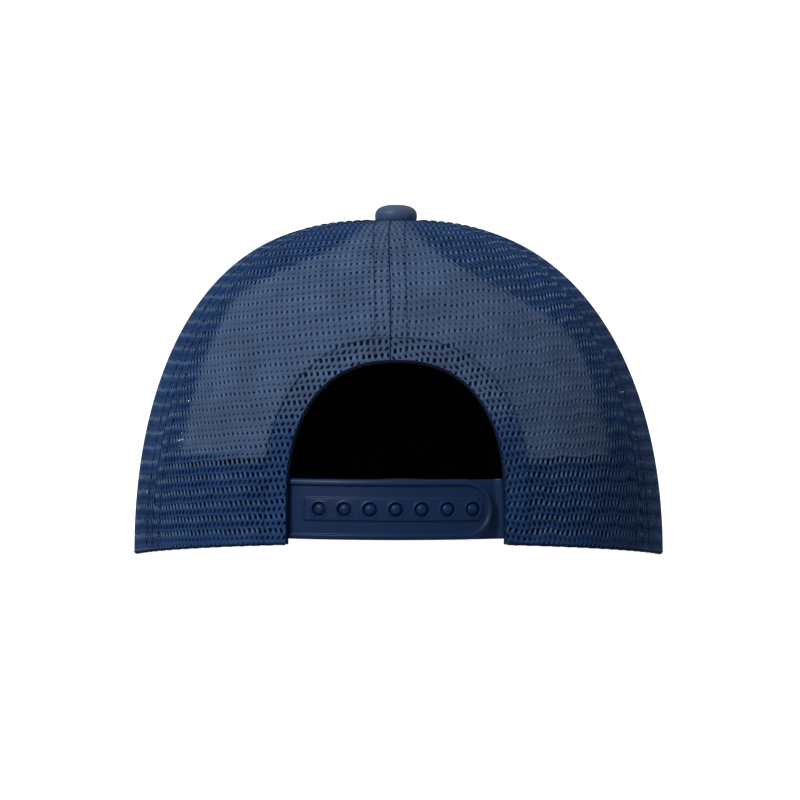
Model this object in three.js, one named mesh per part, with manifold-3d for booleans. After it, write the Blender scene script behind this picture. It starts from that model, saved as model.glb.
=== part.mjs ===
// Trucker cap with a foam front panel, four net panels, a curved peak and a snap strap over an arched
// back opening. It stands on its rim and the sides of its peak, the back of the crown towards -Y and
// the peak towards +Y. Millimetres, +Z up, z = 0 at the table, x = 0 on the middle of the cap.
import * as THREE from "three";
import { mergeVertices } from "three/addons/utils/BufferGeometryUtils.js";
import Module from "manifold-3d";

// Crown: an oval dome. Its upright sections are superellipses with the exponents below.
const CROWN_HALF_WIDTH = 92;
const CROWN_BACK_DEPTH = 94;
const CROWN_FRONT_DEPTH = 98;
const CROWN_HEIGHT = 115.5;
const HEIGHT_EXPONENT = 2.07;
const SIDE_EXPONENTS = { left: 2.8, right: 2.55 }; // its left shoulder is the fuller one
const BACK_EXPONENT = 2.5;
const FRONT_EXPONENT = 3;
const CROWN_LEAN = -0.9; // how far the top leans to the side
const TOP_HOLE_RADIUS = 3;

// Rim: it lies flat on the table at each side and rises towards the back and the front.
const RIM_BACK_RISE = 9;
const RIM_FRONT_RISE = 20;
const RIM_BACK_POWER = 1.1;
const RIM_FRONT_POWER = 1.3;
const REST_HALF_ANGLE = 8;

// Seams, as angles from the middle of the back.
const MIDDLE_SEAM_ANGLE = -1.2; // it is sewn a little to the left
const BACK_SEAM_ANGLE = 65;
const FRONT_SEAM_ANGLE = 120;

// Cloth thicknesses, and the gap between pieces that are sewn together.
const NET_WALL = 1.4;
const FRONT_WALL = 2.4;
const TAPE_THICKNESS = 0.6;
const TAPE_WIDTH = 15;
const TAPE_TOP_RADIUS = 6.5;
const HEM_WIDTH = 8.5;
const HEM_THICKNESS = 1;
const SWEATBAND_HEIGHT = 28.5;
const FOREHEAD_HEIGHT = 48; // the band is taller behind the middle of the front
const FOREHEAD_ANGLES = [16, 32]; // from the middle of the front: where it starts to drop, and where it ends
const SWEATBAND_THICKNESS = 1.2;
const SWEATBAND_LIFT = 1; // the band starts this far above the rim
const SWEATBAND_END_ANGLE = 25.5;
const SEWN_GAP = 0.45;

// Arched opening at the back, a superellipse seen from behind, open down to the rim.
const ARCH_HALF_WIDTH = 36.3;
const ARCH_TOP = 68.9;
const ARCH_SPRING = 23; // height at which its upright sides start to curve
const ARCH_EXPONENT = 2.35;

// Snap strap: an outer half with holes and an inner half with studs.
const STRAP_BOTTOM = 10.3;
const STRAP_HEIGHT = 20.2;
const STRAP_BASE = 1.2;
const STRAP_RIB_WIDTH = 2.1;
const STRAP_RIB_HEIGHT = 0.8;
const STRAP_BAND_HEIGHT = 7.8;
const STRAP_BAND_RAISE = 0.6;
const STRAP_BAND_CORNER = 2.5;
const STRAP_BAND_MARGIN = 3.8; // from the end of its raised band to the strap's rounded end
const STRAP_BAND_LEAD = 5.4; // from the start of its raised band to the middle of the first hole
const STRAP_END = 33.4; // reach of the rounded end from the middle
const STRAP_TAIL = 12; // length sewn in behind the hem
const STUD_COUNT = 7;
const STUD_PITCH = 8.6;
const STUD_RADIUS = 1.8;
const STUD_PROUD = 0.25; // how far a stud stands out of its hole
const HOLE_RADIUS = 2.35;
const STRAP_GAP = 0.3;

// Covered button and the rivet washer that holds it.
const BUTTON_RADIUS = 7.3;
const BUTTON_HEIGHT = 4.8;
const BUTTON_FOOT_TURN = 25; // degrees that its section turns in below its widest place
const BUTTON_STEPS = 7;
const BUTTON_SIDE_POWER = 0.8; // under 1: fuller sides
const BUTTON_TOP_POWER = 0.9;
const POST_RADIUS = 1.6;
const POST_CLEARANCE = 0.3;
const WASHER_RADIUS = 6;
const WASHER_THICKNESS = 1;

// Peak.
const PEAK_LENGTH = 70;
const PEAK_HALF_WIDTH = 88;
const PEAK_THICKNESS = 3;
const PEAK_ROOT_ANGLE = 62; // from the middle of the front
const PEAK_SHOULDER = 24; // from its root to its widest place
const PEAK_EXPONENT = 2.3;
const PEAK_DROOP_POWER = 1.3;

const wasm = await Module();
wasm.setup();

const rad = THREE.MathUtils.degToRad;
const deg = THREE.MathUtils.radToDeg;
const lerp = THREE.MathUtils.lerp;
const smoothstep = THREE.MathUtils.smoothstep;

// Height of the rim. `angle` runs from the middle of the back, in degrees, positive towards +X.
function rimHeight(angle) {
  const level = Math.cos(rad(90 - REST_HALF_ANGLE));
  const along = Math.cos(rad(angle));
  const share = Math.max(0, (Math.abs(along) - level) / (1 - level));
  return along > 0
    ? RIM_BACK_RISE * share ** RIM_BACK_POWER
    : RIM_FRONT_RISE * share ** RIM_FRONT_POWER;
}

function crownDepth(angle) {
  return Math.cos(rad(angle)) > 0 ? CROWN_BACK_DEPTH : CROWN_FRONT_DEPTH;
}

function sectionExponent(angle) {
  const along = Math.cos(rad(angle));
  const end = along > 0 ? BACK_EXPONENT : FRONT_EXPONENT;
  const side = Math.sin(rad(angle)) < 0 ? SIDE_EXPONENTS.left : SIDE_EXPONENTS.right;
  return lerp(side, end, along * along);
}

const MEAN_RADIUS = (2 * CROWN_HALF_WIDTH + CROWN_BACK_DEPTH + CROWN_FRONT_DEPTH) / 4;

// The turn at which the dome's section has come in to `radius` from the middle.
function turnAtRadius(angle, radius) {
  return Math.acos((radius / MEAN_RADIUS) ** (sectionExponent(angle) / 2));
}

function domePoint(angle, turn) {
  const reach = Math.cos(turn) ** (2 / sectionExponent(angle));
  const height = Math.sin(turn) ** (2 / HEIGHT_EXPONENT);
  return new THREE.Vector3(
    CROWN_HALF_WIDTH * Math.sin(rad(angle)) * reach + CROWN_LEAN * height * height,
    -crownDepth(angle) * Math.cos(rad(angle)) * reach,
    CROWN_HEIGHT * height,
  );
}

// A point `depth` inside the dome's outer face. `edge` keeps a cut edge level with its outer corner.
function crownPoint(angle, turn, depth, edge = false) {
  const point = domePoint(angle, turn);
  const across = domePoint(angle + 0.5, turn).sub(domePoint(angle - 0.5, turn));
  const higher = Math.min(turn + 0.005, Math.PI / 2);
  const up = domePoint(angle, higher).sub(domePoint(angle, Math.max(0, turn - 0.005)));
  const inward = across.cross(up).normalize().multiplyScalar(-depth);
  if (edge) inward.z = 0;
  return point.add(inward);
}

function millimetresPerDegree(angle, turn) {
  return domePoint(angle + 0.5, turn).distanceTo(domePoint(angle - 0.5, turn));
}

// A closed solid between an outer and an inner grid of points.
function gridGeometry(columns, rows, outerPoint, innerPoint) {
  const positions = [];
  const indices = [];
  const wide = columns + 1;
  const layer = wide * (rows + 1);
  for (const pointAt of [outerPoint, innerPoint])
    for (let j = 0; j <= rows; j++)
      for (let i = 0; i <= columns; i++) positions.push(...pointAt(i / columns, j / rows).toArray());
  const quad = (a, b, c, d) => indices.push(a, b, c, a, c, d);
  for (let j = 0; j < rows; j++)
    for (let i = 0; i < columns; i++) {
      const k = j * wide + i;
      quad(k, k + 1, k + wide + 1, k + wide);
      quad(layer + k, layer + k + wide, layer + k + wide + 1, layer + k + 1);
    }
  const border = [];
  for (let i = 0; i < columns; i++) border.push(i);
  for (let j = 0; j < rows; j++) border.push(j * wide + columns);
  for (let i = columns; i > 0; i--) border.push(rows * wide + i);
  for (let j = rows; j > 0; j--) border.push(j * wide);
  border.forEach((a, n) => {
    const b = border[(n + 1) % border.length];
    quad(a, layer + a, layer + b, b);
  });
  const geometry = new THREE.BufferGeometry();
  geometry.setAttribute("position", new THREE.Float32BufferAttribute(positions, 3));
  geometry.setIndex(indices);
  return geometry;
}

function toSolid(geometry) {
  const bare = new THREE.BufferGeometry();
  bare.setAttribute("position", geometry.getAttribute("position"));
  if (geometry.index) bare.setIndex(geometry.index);
  const merged = mergeVertices(bare, 1e-3);
  return new wasm.Manifold(
    new wasm.Mesh({
      numProp: 3,
      vertProperties: merged.attributes.position.array,
      triVerts: new Uint32Array(merged.index.array),
    }),
  );
}

function toGeometry(solid) {
  const mesh = solid.getMesh();
  const geometry = new THREE.BufferGeometry();
  geometry.setAttribute("position", new THREE.Float32BufferAttribute(mesh.vertProperties, 3));
  geometry.setIndex(new THREE.BufferAttribute(mesh.triVerts, 1));
  geometry.computeVertexNormals();
  return geometry;
}

// A stretch of the dome's wall between two seams, from `lift` above the rim up to the top hole.
function wallSolid({ from, to, outer, inner, columns, rows, lift = 0, topRadius = TOP_HOLE_RADIUS }) {
  const pointAt = (depth) => (i, j) => {
    const middle = lerp(from, to, i);
    const turn = lerp(turnAbove(middle, lift), turnAtRadius(middle, topRadius), j);
    const half = SEWN_GAP / 2;
    const low = from + half / millimetresPerDegree(from, turn);
    const high = to - half / millimetresPerDegree(to, turn);
    return crownPoint(lerp(low, high, i), turn, depth, j === 0);
  };
  return toSolid(gridGeometry(columns, rows, pointAt(outer), pointAt(inner)));
}

function turnAbove(angle, lift) {
  return Math.asin(((rimHeight(angle) + lift) / CROWN_HEIGHT) ** (HEIGHT_EXPONENT / 2));
}

// The arch's outline seen from behind, grown by `margin`, as a prism that runs through the back wall.
const ARCH_STEPS = 28;
function archPrism(margin) {
  const shape = new THREE.Shape();
  const below = -10;
  const wide = ARCH_HALF_WIDTH + margin;
  const tall = ARCH_TOP - ARCH_SPRING + margin;
  shape.moveTo(-wide, below);
  shape.lineTo(wide, below);
  for (let k = 0; k <= ARCH_STEPS; k++) {
    const turn = (Math.PI * k) / ARCH_STEPS;
    const x = Math.sign(Math.cos(turn)) * wide * Math.abs(Math.cos(turn)) ** (2 / ARCH_EXPONENT);
    shape.lineTo(x, ARCH_SPRING + tall * Math.sin(turn) ** (2 / ARCH_EXPONENT));
  }
  const geometry = new THREE.ExtrudeGeometry(shape, { depth: 2 * CROWN_BACK_DEPTH, bevelEnabled: false });
  geometry.rotateX(Math.PI / 2);
  return toSolid(geometry);
}

const FRONT = FRONT_SEAM_ANGLE;
const BACK = BACK_SEAM_ANGLE;
const WALLS = {
  front_panel: { from: FRONT, to: 360 - FRONT, inner: FRONT_WALL, columns: 22 },
  side_panel_left: { from: -FRONT, to: -BACK, inner: NET_WALL, columns: 11 },
  side_panel_right: { from: BACK, to: FRONT, inner: NET_WALL, columns: 11 },
  back_panel_left: { from: -BACK, to: MIDDLE_SEAM_ANGLE, inner: NET_WALL, columns: 14 },
  back_panel_right: { from: MIDDLE_SEAM_ANGLE, to: BACK, inner: NET_WALL, columns: 14 },
};

function panel(name) {
  const wall = wallSolid({ ...WALLS[name], outer: 0, rows: 13 });
  return name.startsWith("back") ? wall.subtract(archPrism(0)) : wall;
}

// The net folded in behind the edge of the opening.
const HEM_DEPTH = NET_WALL + SEWN_GAP;
function archHem() {
  const reach = deg(Math.asin(Math.min(0.95, (ARCH_HALF_WIDTH + 2 * HEM_WIDTH) / CROWN_HALF_WIDTH)));
  const band = wallSolid({
    from: -reach,
    to: reach,
    outer: HEM_DEPTH,
    inner: HEM_DEPTH + HEM_THICKNESS,
    columns: 18,
    rows: 14,
  });
  return band.intersect(archPrism(HEM_WIDTH)).subtract(archPrism(0));
}

// A tape behind a seam. It narrows towards the top, where it would meet its neighbours.
function seamTape(seam, wall, neighbourAngle, columns = 2, rows = 12) {
  const pointAt = (depth) => (i, j) => {
    const turn = lerp(turnAbove(seam, SWEATBAND_LIFT), turnAtRadius(seam, TAPE_TOP_RADIUS), j);
    const perDegree = millimetresPerDegree(seam, turn);
    const half = Math.min(TAPE_WIDTH / 2, (neighbourAngle / 2) * perDegree - SEWN_GAP / 2);
    return crownPoint(seam + ((2 * i - 1) * half) / perDegree, turn, depth, j === 0);
  };
  const outer = wall + SEWN_GAP;
  return toSolid(gridGeometry(columns, rows, pointAt(outer), pointAt(outer + TAPE_THICKNESS)));
}

function backTape() {
  return seamTape(MIDDLE_SEAM_ANGLE, NET_WALL, BACK).subtract(archPrism(HEM_WIDTH + SEWN_GAP));
}

// The strap's face is this far inside the crown's outer face, just behind the hem.
const STRAP_DEPTH = HEM_DEPTH + HEM_THICKNESS + SEWN_GAP;
const INNER_STRAP_DEPTH = STRAP_DEPTH + STRAP_BASE + STRAP_GAP;
const STRAP_MIDDLE = STRAP_BOTTOM + STRAP_HEIGHT / 2;
const STRAP_RADIUS = CROWN_HALF_WIDTH - STRAP_DEPTH;
const OPENING_EDGE = STRAP_RADIUS * Math.asin(ARCH_HALF_WIDTH / CROWN_HALF_WIDTH);

// The sweatband lies inside the front tapes, and steps in over the tails of the strap.
const SWEATBAND_DEPTH = FRONT_WALL + SEWN_GAP + TAPE_THICKNESS + SEWN_GAP;
function sweatband() {
  const tailAngle = deg((OPENING_EDGE + STRAP_TAIL) / STRAP_RADIUS);
  const overTail = STRAP_DEPTH + STRAP_BASE + SEWN_GAP - SWEATBAND_DEPTH;
  const stepIn = Math.max(0, overTail);
  const clear = 3;
  const pointAt = (extra) => (i, j) => {
    const angle = lerp(SWEATBAND_END_ANGLE, 360 - SWEATBAND_END_ANGLE, i);
    const fromBack = Math.min(angle, 360 - angle);
    const step = 1 - smoothstep(fromBack, tailAngle + clear, tailAngle + 2 * clear);
    const drop = smoothstep(180 - fromBack, ...FOREHEAD_ANGLES);
    const lift = lerp(SWEATBAND_LIFT, lerp(FOREHEAD_HEIGHT, SWEATBAND_HEIGHT, drop), j);
    return crownPoint(angle, turnAbove(angle, lift), SWEATBAND_DEPTH + stepIn * step + extra, j === 0);
  };
  return toSolid(gridGeometry(66, 2, pointAt(0), pointAt(SWEATBAND_THICKNESS)));
}

// A point of the strap, which follows the crown: `along` from the middle of the back, in millimetres,
// and `height` above the table.
function strapPoint(along, height, depth) {
  const turn = Math.asin((height / CROWN_HEIGHT) ** (HEIGHT_EXPONENT / 2));
  return crownPoint(deg(along / STRAP_RADIUS), turn, depth);
}

// Places along a strip from `start` to `end`, each with half of its height there. `corner` is the radius
// of the corners at its end, and `bends` are further places where the strip turns.
const STRAP_STATION = 6;
const CORNER_TURNS = [15, 30, 45, 60, 73, 84].map(rad);
function stripStations(start, end, half, corner, bends) {
  const straightEnd = end - corner;
  const places = [start, ...bends, straightEnd];
  for (let k = Math.ceil((start + 0.5) / STRAP_STATION); k * STRAP_STATION < straightEnd - 0.5; k++)
    places.push(k * STRAP_STATION);
  const stations = places.sort((a, b) => a - b).map((place) => [place, half]);
  if (corner > 0)
    for (const turn of CORNER_TURNS)
      stations.push([straightEnd + corner * Math.sin(turn), half - corner * (1 - Math.cos(turn))]);
  return stations;
}

// A bent strip, inset from the strap's outline at its top and bottom.
function stripSolid({ start, end, inset = 0, corner = 0, bends = [], outer, inner }) {
  const stations = stripStations(start, end, STRAP_HEIGHT / 2 - inset, corner, bends);
  const columns = stations.length - 1;
  const pointAt = (depthAt) => (i, j) => {
    const [along, tall] = stations[Math.round(i * columns)];
    return strapPoint(along, STRAP_MIDDLE + tall * (2 * j - 1), depthAt(along));
  };
  return toSolid(gridGeometry(columns, 1, pointAt(outer), pointAt(inner)));
}

// A round solid set on the strap's face at `along`, its axis pointing out of the crown.
function onStrap(geometry, along, depth) {
  const place = strapPoint(along, STRAP_MIDDLE, depth);
  const out = strapPoint(along, STRAP_MIDDLE, depth - 1).sub(place).normalize();
  geometry.applyQuaternion(new THREE.Quaternion().setFromUnitVectors(new THREE.Vector3(0, 1, 0), out));
  geometry.translate(place.x, place.y, place.z);
  return toSolid(geometry);
}

const STUD_PLACES = Array.from({ length: STUD_COUNT }, (_, k) => (k - (STUD_COUNT - 1) / 2) * STUD_PITCH);

function outerStrap() {
  const visibleStart = -(OPENING_EDGE - 1);
  const half = STRAP_HEIGHT / 2;
  const core = () => STRAP_DEPTH + STRAP_BASE / 2;
  const ribTop = () => STRAP_DEPTH - STRAP_RIB_HEIGHT;
  const body = stripSolid({
    start: -(OPENING_EDGE + STRAP_TAIL),
    end: STRAP_END,
    corner: half,
    outer: () => STRAP_DEPTH,
    inner: () => STRAP_DEPTH + STRAP_BASE,
  });
  const edge = 0.15;
  const rib = stripSolid({
    start: visibleStart,
    end: STRAP_END - edge,
    inset: edge,
    corner: half - edge,
    outer: ribTop,
    inner: core,
  });
  const channel = stripSolid({
    start: visibleStart - 2,
    end: STRAP_END - STRAP_RIB_WIDTH,
    inset: STRAP_RIB_WIDTH,
    corner: half - STRAP_RIB_WIDTH,
    outer: () => ribTop() - 1,
    inner: () => STRAP_DEPTH + 0.1,
  });
  const band = stripSolid({
    start: STUD_PLACES[0] - STRAP_BAND_LEAD,
    end: STRAP_END - STRAP_BAND_MARGIN,
    inset: (STRAP_HEIGHT - STRAP_BAND_HEIGHT) / 2,
    corner: STRAP_BAND_CORNER,
    outer: () => STRAP_DEPTH - STRAP_BAND_RAISE,
    inner: core,
  });
  let strap = body.add(rib.subtract(channel)).add(band);
  for (const place of STUD_PLACES) {
    const hole = new THREE.CylinderGeometry(HOLE_RADIUS, HOLE_RADIUS, 6 * STRAP_BASE, 16);
    strap = strap.subtract(onStrap(hole, place, STRAP_DEPTH));
  }
  return strap;
}

// A stud with a domed head, from inside the inner strap to just outside the raised band.
function studGeometry() {
  const root = -STRAP_BASE / 2;
  const top = STRAP_GAP + STRAP_BASE + STRAP_BAND_RAISE + STUD_PROUD;
  const dome = STUD_RADIUS * 0.6;
  const profile = [
    new THREE.Vector2(0, root),
    new THREE.Vector2(STUD_RADIUS * 0.85, root),
    new THREE.Vector2(STUD_RADIUS, top - dome),
    new THREE.Vector2(STUD_RADIUS * 0.75, top - dome * 0.35),
    new THREE.Vector2(0, top),
  ];
  return new THREE.LatheGeometry(profile, 12);
}

function innerStrap() {
  const tailEnd = OPENING_EDGE + STRAP_TAIL;
  const stepStart = STRAP_END + 1;
  const stepEnd = OPENING_EDGE + 1;
  const stepOut = (along) =>
    lerp(INNER_STRAP_DEPTH, STRAP_DEPTH, smoothstep(along, stepStart, stepEnd));
  const body = stripSolid({
    start: -STRAP_END,
    end: tailEnd,
    bends: [stepStart, stepEnd],
    outer: stepOut,
    inner: (along) => stepOut(along) + STRAP_BASE - 0.2,
  });
  return STUD_PLACES.reduce(
    (strap, place) => strap.add(onStrap(studGeometry(), place, INNER_STRAP_DEPTH)),
    body,
  );
}

// Button: a low dome with a post through the top hole.
const BUTTON_BASE = CROWN_HEIGHT + SEWN_GAP;
const WASHER_TOP = CROWN_HEIGHT - FRONT_WALL - TAPE_THICKNESS - 3 * SEWN_GAP;
function buttonSolid() {
  const post = WASHER_TOP - WASHER_THICKNESS;
  const profile = [
    new THREE.Vector2(0, post),
    new THREE.Vector2(POST_RADIUS, post),
    new THREE.Vector2(POST_RADIUS, BUTTON_BASE),
  ];
  const foot = rad(BUTTON_FOOT_TURN);
  const low = Math.sin(foot) ** BUTTON_TOP_POWER;
  for (let k = 0; k <= BUTTON_STEPS; k++) {
    const turn = lerp(-foot, Math.PI / 2, k / BUTTON_STEPS);
    const reach = k === BUTTON_STEPS ? 0 : Math.cos(turn) ** BUTTON_SIDE_POWER;
    const rise = Math.sign(turn) * Math.abs(Math.sin(turn)) ** BUTTON_TOP_POWER;
    const height = BUTTON_BASE + (BUTTON_HEIGHT * (rise + low)) / (1 + low);
    profile.push(new THREE.Vector2(BUTTON_RADIUS * reach, height));
  }
  const geometry = new THREE.LatheGeometry(profile, 28);
  geometry.rotateX(Math.PI / 2);
  geometry.translate(CROWN_LEAN, 0, 0);
  return toSolid(geometry);
}

function washerSolid() {
  const inner = POST_RADIUS + POST_CLEARANCE;
  const profile = [
    new THREE.Vector2(inner, WASHER_TOP - WASHER_THICKNESS),
    new THREE.Vector2(WASHER_RADIUS, WASHER_TOP - WASHER_THICKNESS),
    new THREE.Vector2(WASHER_RADIUS, WASHER_TOP),
    new THREE.Vector2(inner, WASHER_TOP),
    new THREE.Vector2(inner, WASHER_TOP - WASHER_THICKNESS),
  ];
  const geometry = new THREE.LatheGeometry(profile, 24);
  geometry.rotateX(Math.PI / 2);
  geometry.translate(CROWN_LEAN, 0, 0);
  return toSolid(geometry);
}

// Peak. `side` runs from -1 at its left root over 0 at the tip to 1 at its right root.
const PEAK_ROOT_Y = CROWN_FRONT_DEPTH * Math.cos(rad(PEAK_ROOT_ANGLE));
const PEAK_TIP_Y = CROWN_FRONT_DEPTH + PEAK_LENGTH;
function peakInner(side) {
  const angle = 180 - PEAK_ROOT_ANGLE * side;
  const place = crownPoint(angle, turnAbove(angle, 0), -SEWN_GAP, true);
  return new THREE.Vector2(place.x, place.y);
}

function peakOuter(side) {
  const shoulderShare = 0.82; // of the way from the tip to a root, where the peak is widest
  const away = Math.abs(side);
  const root = peakInner(1);
  if (away > shoulderShare) {
    const turn = (1 - (away - shoulderShare) / (1 - shoulderShare)) * (Math.PI / 2);
    const x = lerp(root.x, PEAK_HALF_WIDTH, Math.sin(turn));
    const y = PEAK_ROOT_Y + PEAK_SHOULDER * (1 - Math.cos(turn));
    return new THREE.Vector2(Math.sign(side) * x, y);
  }
  const turn = (away / shoulderShare) * (Math.PI / 2);
  const widest = PEAK_ROOT_Y + PEAK_SHOULDER;
  return new THREE.Vector2(
    Math.sign(side) * PEAK_HALF_WIDTH * Math.sin(turn) ** (2 / PEAK_EXPONENT),
    widest + (PEAK_TIP_Y - widest) * Math.cos(turn) ** (2 / PEAK_EXPONENT),
  );
}

// The peak's underside is arched as the front of the rim is, and droops towards its edge and tip.
function peakArch(x) {
  const angle = deg(Math.asin(Math.min(1, Math.abs(x) / CROWN_HALF_WIDTH)));
  return rimHeight(180 - angle);
}

function droopShape(y) {
  return Math.max(0, (y - PEAK_ROOT_Y) / (PEAK_TIP_Y - PEAK_ROOT_Y)) ** PEAK_DROOP_POWER;
}

// It droops just so far that each side of its edge touches the table.
function peakDroop() {
  let droop = RIM_FRONT_RISE;
  for (let k = 5; k <= 100; k++) {
    const { x, y } = peakOuter(k / 100);
    if (droopShape(y) > 0.02) droop = Math.min(droop, peakArch(x) / droopShape(y));
  }
  return droop;
}

const PEAK_DROOP = peakDroop();
function peakSolid() {
  const pointAt = (raise) => (i, j) => {
    const side = 1 - 2 * i;
    const { x, y } = peakInner(side).lerp(peakOuter(side), 1 - j);
    const droop = PEAK_DROOP * droopShape(y) * (1 - j * j);
    const z = Math.max(0, peakArch(x) - droop);
    return new THREE.Vector3(x, y, z + raise);
  };
  return toSolid(gridGeometry(40, 6, pointAt(PEAK_THICKNESS), pointAt(0)));
}

function cloth(color, roughness = 0.85) {
  return new THREE.MeshStandardMaterial({ color, roughness, metalness: 0 });
}

const NET_NAVY = cloth(0x3a4f74, 0.6);
const FRONT_NAVY = cloth(0x2c3f63);
const PEAK_NAVY = cloth(0x2b3d60);
const TAPE_NAVY = cloth(0x1c2a49);
const BAND_NAVY = cloth(0x10182c);
const STRAP_NAVY = cloth(0x182c4e, 0.4);
const WASHER_GREY = cloth(0x8c9096, 0.35);

const cap = new THREE.Group();

function addPiece(name, solid, material) {
  const mesh = new THREE.Mesh(toGeometry(solid), material);
  mesh.name = name;
  cap.add(mesh);
}

for (const name of Object.keys(WALLS))
  addPiece(name, panel(name), name === "front_panel" ? FRONT_NAVY : NET_NAVY);
for (const [side, sign] of Object.entries({ left: -1, right: 1 })) {
  addPiece(`side_tape_${side}`, seamTape(sign * BACK, NET_WALL, FRONT - BACK), TAPE_NAVY);
  addPiece(`front_tape_${side}`, seamTape(sign * FRONT, FRONT_WALL, FRONT - BACK), TAPE_NAVY);
}
addPiece("back_tape", backTape(), TAPE_NAVY);
addPiece("arch_hem", archHem(), NET_NAVY);
addPiece("sweatband", sweatband(), BAND_NAVY);
addPiece("strap_outer", outerStrap(), STRAP_NAVY);
addPiece("strap_inner", innerStrap(), STRAP_NAVY);
addPiece("top_button", buttonSolid(), FRONT_NAVY);
addPiece("button_washer", washerSolid(), WASHER_GREY);
addPiece("peak", peakSolid(), PEAK_NAVY);

// The crown is built around y = 0. This brings the middle of the whole length there.
cap.position.y = -new THREE.Box3().setFromObject(cap).getCenter(new THREE.Vector3()).y;

export default cap;
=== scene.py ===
"""Looks of the trucker cap: real open net, cloth, foam, plastic strap, stitches, floor, light and camera."""

import math

import bpy
import numpy as np
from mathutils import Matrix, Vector


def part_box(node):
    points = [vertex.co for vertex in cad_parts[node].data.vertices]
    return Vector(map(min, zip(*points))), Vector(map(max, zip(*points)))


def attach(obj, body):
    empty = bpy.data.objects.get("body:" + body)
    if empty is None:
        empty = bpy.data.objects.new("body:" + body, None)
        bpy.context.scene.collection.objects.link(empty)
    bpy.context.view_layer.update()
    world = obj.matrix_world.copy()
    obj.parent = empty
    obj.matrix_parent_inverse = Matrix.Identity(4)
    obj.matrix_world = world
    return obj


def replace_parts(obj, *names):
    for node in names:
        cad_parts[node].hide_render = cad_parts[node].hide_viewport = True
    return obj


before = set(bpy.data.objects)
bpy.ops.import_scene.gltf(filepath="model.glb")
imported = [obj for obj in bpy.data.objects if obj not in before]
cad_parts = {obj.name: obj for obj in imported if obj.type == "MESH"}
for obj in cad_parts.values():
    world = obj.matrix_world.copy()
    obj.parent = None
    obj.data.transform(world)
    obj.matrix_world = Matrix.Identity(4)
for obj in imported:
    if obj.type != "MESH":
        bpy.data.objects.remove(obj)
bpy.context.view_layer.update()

# The crown's own shape, in millimetres, as in the solids. Angles run from the middle of the back.
HALF_WIDTH, BACK_DEPTH, FRONT_DEPTH, HEIGHT = 92.0, 94.0, 98.0, 115.5
HEIGHT_EXP, LEFT_EXP, RIGHT_EXP, BACK_EXP, FRONT_EXP = 2.07, 2.8, 2.55, 2.5, 3.0
LEAN = -0.9
BACK_RISE, FRONT_RISE, BACK_POWER, FRONT_POWER, REST_ANGLE = 9.0, 20.0, 1.1, 1.3, 8.0
MIDDLE_SEAM, BACK_SEAM, FRONT_SEAM = -1.2, 65.0, 120.0
FRONT_WALL = 2.4
ARCH_WIDE, ARCH_TOP, ARCH_SPRING, ARCH_EXP = 36.3, 68.9, 23.0, 2.35
HEM_WIDTH = 8.5
TOP_EXP = 2.6  # of the crown's outline near the button
STRAP_DEPTH, STRAP_BASE = 3.3, 1.2
STRAP_BOTTOM, STRAP_TALL = 10.3, 20.2

low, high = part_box("top_button")
AXIS_Y = (low.y + high.y) / 2


def rim_height(angle):
    along = np.cos(np.radians(angle))
    level = math.cos(math.radians(90 - REST_ANGLE))
    share = np.maximum(0, (np.abs(along) - level) / (1 - level))
    return np.where(along > 0, BACK_RISE * share**BACK_POWER, FRONT_RISE * share**FRONT_POWER)


def exponent(angle):
    along = np.cos(np.radians(angle))
    end = np.where(along > 0, BACK_EXP, FRONT_EXP)
    side = np.where(np.sin(np.radians(angle)) < 0, LEFT_EXP, RIGHT_EXP)
    return side + (end - side) * along**2


def turn_at_height(height):
    return np.arcsin(np.clip(np.asarray(height, float) / HEIGHT, 0, 1) ** (HEIGHT_EXP / 2))


def dome(angle, turn):
    """Point on the crown's outer face, with the crown's axis at x = y = 0."""
    angle, turn = np.broadcast_arrays(np.asarray(angle, float), np.asarray(turn, float))
    along = np.cos(np.radians(angle))
    reach = np.cos(np.clip(turn, 0, math.pi / 2)) ** (2 / exponent(angle))
    height = np.sin(np.clip(turn, 0, math.pi / 2)) ** (2 / HEIGHT_EXP)
    depth = np.where(along > 0, BACK_DEPTH, FRONT_DEPTH)
    x = HALF_WIDTH * np.sin(np.radians(angle)) * reach + LEAN * height * height
    return np.stack([x, -depth * along * reach, HEIGHT * height], -1)


def degree_length(angle, turn):
    return np.linalg.norm(dome(angle + 0.5, turn) - dome(angle - 0.5, turn), axis=-1)


def turn_at_radius(radius):
    return float(np.arccos((radius / BACK_DEPTH) ** (TOP_EXP / 2)))


def at_back(angle):
    return np.cos(np.radians(angle)) > 0.2


def outward(angle, turn):
    across = dome(angle + 0.5, turn) - dome(angle - 0.5, turn)
    up = dome(angle, np.minimum(turn + 0.005, math.pi / 2)) - dome(angle, np.maximum(turn - 0.005, 0))
    n = np.cross(across, up)
    return n / np.maximum(np.linalg.norm(n, axis=-1, keepdims=True), 1e-9)


def crown(angle, turn, depth):
    return dome(angle, turn) - outward(angle, turn) * np.asarray(depth, float)[..., None]


def crown_flat_edge(angle, turn, depth):
    """As crown(), but level with the outer face, for cut edges."""
    n = outward(angle, turn)
    n[..., 2] = 0
    return dome(angle, turn) - n * np.asarray(depth, float)[..., None]


TABLE_TURNS = np.linspace(0, math.pi / 2 - 0.004, 400)


def arc_table(angle):
    points = dome(angle, TABLE_TURNS)
    return np.concatenate([[0], np.cumsum(np.linalg.norm(np.diff(points, axis=0), axis=1))])


# Meshes
def ease(value, start, end):
    share = np.clip((value - start) / (end - start), 0, 1)
    return share * share * (3 - 2 * share)


def hump(value, middle, wide):
    return np.exp(-(((value - middle) / wide) ** 2))


def to_row(points):
    out = np.asarray(points, float).reshape(-1, 3) / 1000
    out[:, 1] += AXIS_Y
    return out


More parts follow.
